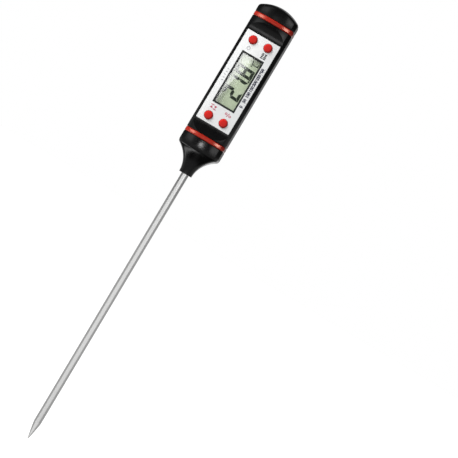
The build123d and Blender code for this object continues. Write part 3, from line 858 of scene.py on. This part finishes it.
def readout():
    """21.8 degrees, as it reads on the display."""
    shapes = []
    for character, start in DIGIT_STARTS:
        shapes += digit(character, READOUT_START + start)
    point = (DIGIT_BASE - POINT_HEIGHT / 2, READOUT_START + POINT_AT)
    shapes.append(rectangle(point, POINT_HEIGHT, POINT_WIDTH))
    shapes += ring_of_quads((DEGREE_X, READOUT_START + DEGREE_AT), outer=0.42 * MM, inner=0.16 * MM)
    shapes += digit("C", READOUT_START + UNIT_START, width=1.9 * MM, height=3.6 * MM, stroke=0.5 * MM)
    mesh = prisms(shapes, film_low.y - INK, INK_DEPTH)
    piece("display_segments", mesh, "handle", "polarizer_film").data.materials[0] = materials["display_ink"]


readout()

# ---------------------------------------------------------------- printing on the panel


def printed(name, shapes, ink):
    mesh = prisms(shapes, PANEL_FACE - INK, INK_DEPTH)
    piece(name, mesh, "handle", "panel_white").data.materials[0] = materials[ink]


def triangle(centre, width, height, up=1):
    x, z = centre
    w, h = width / 2, up * height / 2
    points = [(x - w, z - h), (x + w, z - h), (x, z + h)]
    return points if up > 0 else list(reversed(points))


def power_mark(centre):
    """A broken ring with a bar in its gap."""
    x, z = centre
    half_gap, bar_rise = 0.3 * MM, 0.62 * MM
    shapes = []
    for quad in ring_of_quads(centre, outer=0.95 * MM, inner=0.68 * MM, count=24):
        quad_x = sum(corner[0] for corner in quad) / len(quad)
        if abs(quad_x - x) > half_gap or quad[0][1] < z:
            shapes.append(quad)
    shapes.append(rectangle((x, z + bar_rise), width=0.27 * MM, height=1.0 * MM))
    return shapes


def hold_mark(centre):
    """Two columns of short bars of uneven length."""
    x, z = centre
    column, pitch, thickness, full = 0.75 * MM, 0.74 * MM, 0.54 * MM, 1.15 * MM
    shapes = []
    for side, lengths in ((-1, (1.0, 0.7, 1.0, 0.8)), (1, (1.1, 1.1, 0.8, 1.1))):
        for row, length in enumerate(lengths):
            place = (x + side * column, z + (row - 1.5) * pitch)
            shapes.append(rectangle(place, full * length, thickness))
    return shapes


def minmax_mark(centre):
    """An upward and a downward triangle, each on its bar."""
    x, z = centre
    apart, shift, bar_shift, width = 0.9 * MM, 0.2 * MM, 0.9 * MM, 1.6 * MM
    shapes = []
    for side in (-1, 1):
        across = x + side * apart
        shapes.append(triangle((across, z + side * shift), width, height=1.3 * MM, up=-side))
        shapes.append(rectangle((across, z - side * bar_shift), width, height=0.42 * MM))
    return shapes


def units_mark(centre):
    """Two degree rings with a stroke between them."""
    x, z = centre
    apart, drop = 1.1 * MM, 0.25 * MM
    lean, half, tall = 0.35 * MM, 0.19 * MM, 1.0 * MM  # the stroke's slant, half width and half height
    foot = [(x - lean - half, z - tall), (x - lean + half, z - tall)]
    head = [(x + lean + half, z + tall), (x + lean - half, z + tall)]
    shapes = []
    for side in (-1, 1):
        place = (x + side * apart, z - side * drop)
        shapes += ring_of_quads(place, outer=0.62 * MM, inner=0.27 * MM)
    shapes.append(foot + head)
    return shapes


MARK_X = 4.0 * MM
HOLD_SHIFT = 0.3 * MM
UPPER_MARKS = PANEL_MIDDLE + 16.4 * MM
LOWER_MARKS = PANEL_MIDDLE - 16.3 * MM
printed("print_power", power_mark((-MARK_X, UPPER_MARKS)), "ink_grey")
printed("print_hold", hold_mark((MARK_X + HOLD_SHIFT, UPPER_MARKS)), "ink_black")
printed("print_minmax", minmax_mark((-MARK_X, LOWER_MARKS)), "ink_pink")
printed("print_units", units_mark((MARK_X, LOWER_MARKS)), "ink_pink")

SIDE_X = 7.35 * MM
SCALE_LENGTH = 22.6 * MM
NUMERAL_SIZE = 2.0 * MM
NUMERAL_WEIGHT = 0.10 * MM  # how far each stroke's edges are moved outwards
TICKS = 16
TICK_OUT = 1.05 * MM  # from the numerals' middle line
SIDE_TICKS_IN = 0.1 * MM
SIDE_TICK_PITCH = 1.5 * MM
scale_numbers = range(0, 301, 50)


def scale_numerals():
    """Numerals of a measuring range, reading upwards."""
    pitch = SCALE_LENGTH / len(scale_numbers)
    start = PANEL_MIDDLE - SCALE_LENGTH / 2
    bm = bmesh.new()
    for place, number in enumerate(scale_numbers):
        curve = bpy.data.curves.new("numeral", "FONT")
        curve.body = str(number)
        curve.size = NUMERAL_SIZE
        curve.offset = NUMERAL_WEIGHT
        curve.extrude = INK_DEPTH / 2
        curve.align_x = "CENTER"
        curve.align_y = "CENTER"
        text = bpy.data.objects.new("numeral", curve)
        mesh = bpy.data.meshes.new_from_object(text)
        upright = Matrix(((0, -1, 0), (0, 0, -1), (1, 0, 0))).to_4x4()
        where = Vector((SIDE_X, PANEL_FACE - INK + INK_DEPTH / 2, start + pitch * (place + 0.5)))
        mesh.transform(Matrix.Translation(where) @ upright)
        bm.from_mesh(mesh)
        bpy.data.objects.remove(text)
    piece("print_scale", finished(bm), "handle", "panel_white").data.materials[0] = materials["ink_navy"]


def scale_ticks():
    """Ticks beside the numerals, every second one longer."""
    shapes = []
    for step in range(TICKS + 1):
        place = (SIDE_X + TICK_OUT, PANEL_MIDDLE + SCALE_LENGTH * (step / TICKS - 0.5))
        length = 0.5 * MM if step % 2 else 0.3 * MM
        shapes.append(rectangle(place, length, height=0.14 * MM))
    return shapes


def side_ticks():
    """A short column of faint bars on the other side of the display."""
    shapes = []
    for step in range(-2, 3):
        place = (SIDE_TICKS_IN - SIDE_X, PANEL_MIDDLE + step * SIDE_TICK_PITCH)
        shapes.append(rectangle(place, width=0.9 * MM, height=0.35 * MM))
    return shapes


scale_numerals()
printed("print_ticks", scale_ticks(), "ink_navy")
printed("print_side_ticks", side_ticks(), "ink_grey")

# ---------------------------------------------------------------- camera

DISTANCE = 0.70
SENSOR = 36
HALF_VIEW = radians(8.939)
AZIMUTH = radians(4.89)
LEAN = radians(30.78)  # how far the object leans to the right in the picture
MIDDLE_RIGHT = 31.6 * MM  # the picture's middle, right of the stem and above the origin
MIDDLE_UP = -11.9 * MM


def look():
    """Adds the camera, and returns its place."""
    right = Vector((cos(AZIMUTH), sin(AZIMUTH), 0))
    back = Vector((sin(AZIMUTH), -cos(AZIMUTH), 0))
    up = Vector((0, 0, 1))
    rolled_right = right * cos(LEAN) + up * sin(LEAN)
    rolled_up = up * cos(LEAN) - right * sin(LEAN)
    data = bpy.data.cameras.new("camera")
    data.sensor_width = SENSOR
    data.lens = SENSOR / 2 / tan(HALF_VIEW)
    data.clip_start, data.clip_end = 0.01, 20
    camera = bpy.data.objects.new("camera", data)
    place = right * MIDDLE_RIGHT + up * MIDDLE_UP + back * DISTANCE
    turned = Matrix((rolled_right, rolled_up, back)).transposed()
    camera.matrix_world = Matrix.Translation(place) @ turned.to_4x4()
    bpy.context.scene.collection.objects.link(camera)
    bpy.context.scene.camera = camera
    return place


camera_place = look()

# ---------------------------------------------------------------- light and floor


def area_light(name, place, aim, across, size, radiance):
    """A rectangular light at place that faces aim. across is its width's direction, and size its
    width and height."""
    data = bpy.data.lights.new(name, "AREA")
    data.shape = "RECTANGLE"
    data.size, data.size_y = size
    data.energy = radiance * pi * size[0] * size[1]
    forward = (place - aim).normalized()
    across = (across - forward * across.dot(forward)).normalized()
    turned = Matrix((across, forward.cross(across), forward)).transposed()
    light = bpy.data.objects.new(name, data)
    light.matrix_world = Matrix.Translation(place) @ turned.to_4x4()
    bpy.context.scene.collection.objects.link(light)
    return light


def around(azimuth, elevation, distance):
    """A point at that azimuth from the front, positive to the right, and elevation in degrees."""
    a, e = radians(azimuth), radians(elevation)
    direction = Vector((sin(a) * cos(e), -cos(a) * cos(e), sin(e)))
    return Vector((0, 0, PANEL_MIDDLE)) + direction * distance


GLARE_Y = -0.6  # the plane of the window light that the panel mirrors
GLARE_WIDTH = 0.13
# The edge of the glare on the panel: its lower left and upper right ends, from the panel's middle
GLARE_LOW = -9.6 * MM, -29.5 * MM
GLARE_HIGH = 3.6 * MM, 24.6 * MM


def mirrored(x, z):
    """Where the camera's ray to the panel at x, z meets the window light's plane after reflection."""
    virtual = Vector((camera_place.x, 2 * PANEL_FACE - camera_place.y, camera_place.z))
    ray = Vector((x, PANEL_FACE, z)) - virtual
    return virtual + ray * ((GLARE_Y - virtual.y) / ray.y)


def only_on(light, *names):
    """Keeps a light for the named pieces, as a shaded card does in a studio."""
    receivers = bpy.data.collections.new(f"{light.name}_receivers")
    for name in names:
        receivers.objects.link(bpy.data.objects[name])
    light.light_linking.receiver_collection = receivers


def front_pieces():
    """The names of what the window light falls on: the panel, its printing and the display's front."""
    names = [frame["nodes"][name].name for name in ("face_panel", "lcd_bezel", "lcd_window")]
    return names + [obj.name for obj in bpy.data.objects if obj.name.startswith("print_")]


def lights():
    """A soft light from the upper left, which gloss doesn't mirror, a window light for the panel and
    the display, which mirror its edge, and cards for the stem, the nose, the body and the rings. The
    world gives the other light."""
    across, middle = Vector((1, 0, 0)), around(0, 0, 0)
    soft = area_light("soft_light", around(-60, 36, 1.3), middle, across, size=(0.5, 0.5), radiance=22)
    soft.visible_glossy = False

    low, high = (mirrored(x, PANEL_MIDDLE + z) for x, z in (GLARE_LOW, GLARE_HIGH))
    along = (high - low).normalized()
    outwards = Vector((-along.z, 0, along.x))
    place = (high + low) / 2 + outwards * GLARE_WIDTH / 2
    size = GLARE_WIDTH, (high - low).length
    window = area_light("window_light", place, place + Vector((0, 1, 0)), outwards, size, radiance=3.8)
    only_on(window, *front_pieces())

    place, aim = around(2.5, -14, 1.0), around(2.5, -14, 0)
    card = area_light("stem_card", place, aim, across, size=(2.6, 1.8), radiance=0.66)
    only_on(card, "stem_tube_drawn", "stem_point_ground")

    place, aim = Vector((-0.055, GLARE_Y, 0.072)), Vector((0, 0, 0.015))
    card = area_light("nose_card", place, aim, across, size=(0.10, 0.035), radiance=19)
    only_on(card, "nose_moulding")

    place, aim = around(-5, -4.5, 0.8), around(-5, -4.5, 0)
    card = area_light("scoop_card", place, aim, across, size=(0.5, 0.16), radiance=1.3)
    only_on(card, "body_shell_moulding")

    for name, azimuth, radiance in (("left_ring_card", -40, 4), ("right_ring_card", 28, 6)):
        card = area_light(name, around(azimuth, 5.5, 0.8), middle, across, (0.17, 0.28), radiance)
        only_on(card, "lower_seal_ring", "upper_seal_ring")


lights()

# Brightness of the studio as gloss mirrors it, in bands at different heights round the object, each
# as (degrees to the right of the front, strength)
HIGH_BAND = [
    (-180, 0.5), (-160, 0.04), (-50, 0.04), (-44, 0.5), (-30, 0.5), (-24, 0.05), (18, 0.05),
    (23, 0.6), (38, 0.6), (46, 0.04), (160, 0.04), (180, 0.5),
]
HANDLE_BAND = [
    (-180, 0.5), (-160, 0.04), (-132, 0.04), (-118, 0.12), (-104, 0.12), (-92, 0.06), (-75, 0.06),
    (-50, 0.10), (-44, 1.0), (-31, 1.0), (-26, 0.08), (-17, 0.06), (-13, 0.10), (3, 0.10), (7, 0.06),
    (18, 0.08), (22, 1.9), (35, 1.9), (41, 0.10), (75, 0.06), (92, 0.06), (104, 0.06), (118, 0.06),
    (132, 0.04), (160, 0.04), (180, 0.5),
]
NOSE_BAND = [
    (-180, 0.5), (-160, 0.04), (-75, 0.05), (-50, 0.06), (-42, 0.3), (-30, 0.3), (-24, 0.06), (-17, 0.10),
    (-12, 0.8), (2, 0.8), (8, 0.10), (23, 0.06), (27, 0.4), (40, 0.4), (46, 0.06), (75, 0.05),
    (160, 0.04), (180, 0.5),
]
STEM_BAND = [
    (-180, 1.0), (-158, 0.42), (-66, 0.42), (-46, 0.25), (50, 0.25), (70, 0.42), (158, 0.42), (180, 1.0),
]
LOW_BAND = [
    (-180, 0.2), (-150, 0.04), (-90, 0.04), (-80, 2.8), (-58, 2.8), (-48, 0.04), (-16, 0.04), (-10, 0.14),
    (4, 0.14), (10, 0.04), (150, 0.04), (180, 0.2),
]
# Elevations in degrees between which the band from below gives way to the one above it
STEM_STARTS = -48, -36
NOSE_STARTS = -0.5, 1.0
HANDLE_STARTS = 2.7, 3.2
HIGH_STARTS = 10, 14
TOP_STARTS = 38, 50
TOP_STRENGTH = 0.05
MOST_LIGHT_FROM = -0.8, -0.5, 0.33  # the side from which matt surfaces get the most light
SOFT_STRENGTHS = 0.05, 0.80
RAMP_SCALE = 12.0  # colour ramps hold values up to 1, so the strengths are divided by this in them


def world():
    """White to the camera. Matt surfaces get soft light, more of it from the left, and gloss mirrors
    bands of cards round the object."""
    made = bpy.data.worlds.new("studio")
    bpy.context.scene.world = made
    made.use_nodes = True
    nodes, links = made.node_tree.nodes, made.node_tree.links
    background = nodes["Background"]
    background.inputs["Color"].default_value = (1, 1, 1, 1)

    def math(operation, *values):
        node = nodes.new("ShaderNodeMath")
        node.operation = operation
        for socket, value in zip(node.inputs, values):
            if isinstance(value, (int, float)):
                socket.default_value = value
            else:
                links.new(value, socket)
        return node.outputs[0]

    def ranged(value, low, high, first=0.0, last=1.0):
        node = nodes.new("ShaderNodeMapRange")
        node.interpolation_type = "SMOOTHSTEP"
        for socket, number in zip(node.inputs[1:5], (low, high, first, last)):
            socket.default_value = number
        links.new(value, node.inputs["Value"])
        return node.outputs["Result"]

    def mixed(fac, a, b):
        node = nodes.new("ShaderNodeMix")
        for name, value in (("Factor", fac), ("A", a), ("B", b)):
            if isinstance(value, (int, float)):
                node.inputs[name].default_value = value
            else:
                links.new(value, node.inputs[name])
        return node.outputs["Result"]

    def band(turn, stops):
        """The strength at that turn round the object."""
        node = nodes.new("ShaderNodeValToRGB")
        greys = [(degrees / 360 + 0.5, [strength / RAMP_SCALE] * 3) for degrees, strength in stops]
        set_stops(node.color_ramp, greys)
        links.new(turn, node.inputs["Fac"])
        return math("MULTIPLY", node.outputs["Color"], RAMP_SCALE)

    direction = nodes.new("ShaderNodeSeparateXYZ")
    links.new(nodes.new("ShaderNodeTexCoord").outputs["Generated"], direction.inputs["Vector"])
    x, y, z = direction.outputs
    turn = math("ADD", math("DIVIDE", math("ARCTAN2", x, math("MULTIPLY", y, -1.0)), 2 * pi), 0.5)
    height = math("DEGREES", math("ARCSINE", z))
    lower = mixed(ranged(height, *STEM_STARTS), band(turn, LOW_BAND), band(turn, STEM_BAND))
    level = mixed(ranged(height, *NOSE_STARTS), lower, band(turn, NOSE_BAND))
    upper = mixed(ranged(height, *HANDLE_STARTS), level, band(turn, HANDLE_BAND))
    over = mixed(ranged(height, *HIGH_STARTS), upper, band(turn, HIGH_BAND))
    gloss = mixed(ranged(height, *TOP_STARTS), over, TOP_STRENGTH)
    sky_x, sky_y, sky_z = MOST_LIGHT_FROM
    towards = math("ADD", math("MULTIPLY", x, sky_x), math("MULTIPLY", y, sky_y))
    towards = math("ADD", towards, math("MULTIPLY", z, sky_z))
    soft = ranged(towards, -1.0, 1.0, *SOFT_STRENGTHS)
    path = nodes.new("ShaderNodeLightPath")
    lit = mixed(path.outputs["Is Glossy Ray"], soft, gloss)
    links.new(mixed(path.outputs["Is Camera Ray"], lit, 1.0), background.inputs["Strength"])


world()


FLOOR_GAP = 0.05 * MM
FLOOR_HALF = 6.0
FLOOR_GLOW = 0.80


def floor():
    """A plain white floor under the point. It is bright of itself, so that only shadow shows."""
    mesh = bpy.data.meshes.new("floor")
    z, half = tip_low.z - FLOOR_GAP, FLOOR_HALF
    corners = [(-half, -half, z), (half, -half, z), (half, half, z), (-half, half, z)]
    mesh.from_pydata(corners, [], [(0, 1, 2, 3)])
    obj = bpy.data.objects.new("floor", mesh)
    bpy.context.scene.collection.objects.link(obj)
    shader = Shader("floor", Base_Color=(0.5, 0.5, 0.5, 1), Roughness=0.6)
    shader.principled.inputs["Emission Color"].default_value = (1, 1, 1, 1)
    shader.principled.inputs["Emission Strength"].default_value = FLOOR_GLOW
    mesh.materials.append(shader.material)
    obj.visible_glossy = False
    obj.visible_diffuse = False


floor()
bpy.context.scene.view_settings.view_transform = "Standard"
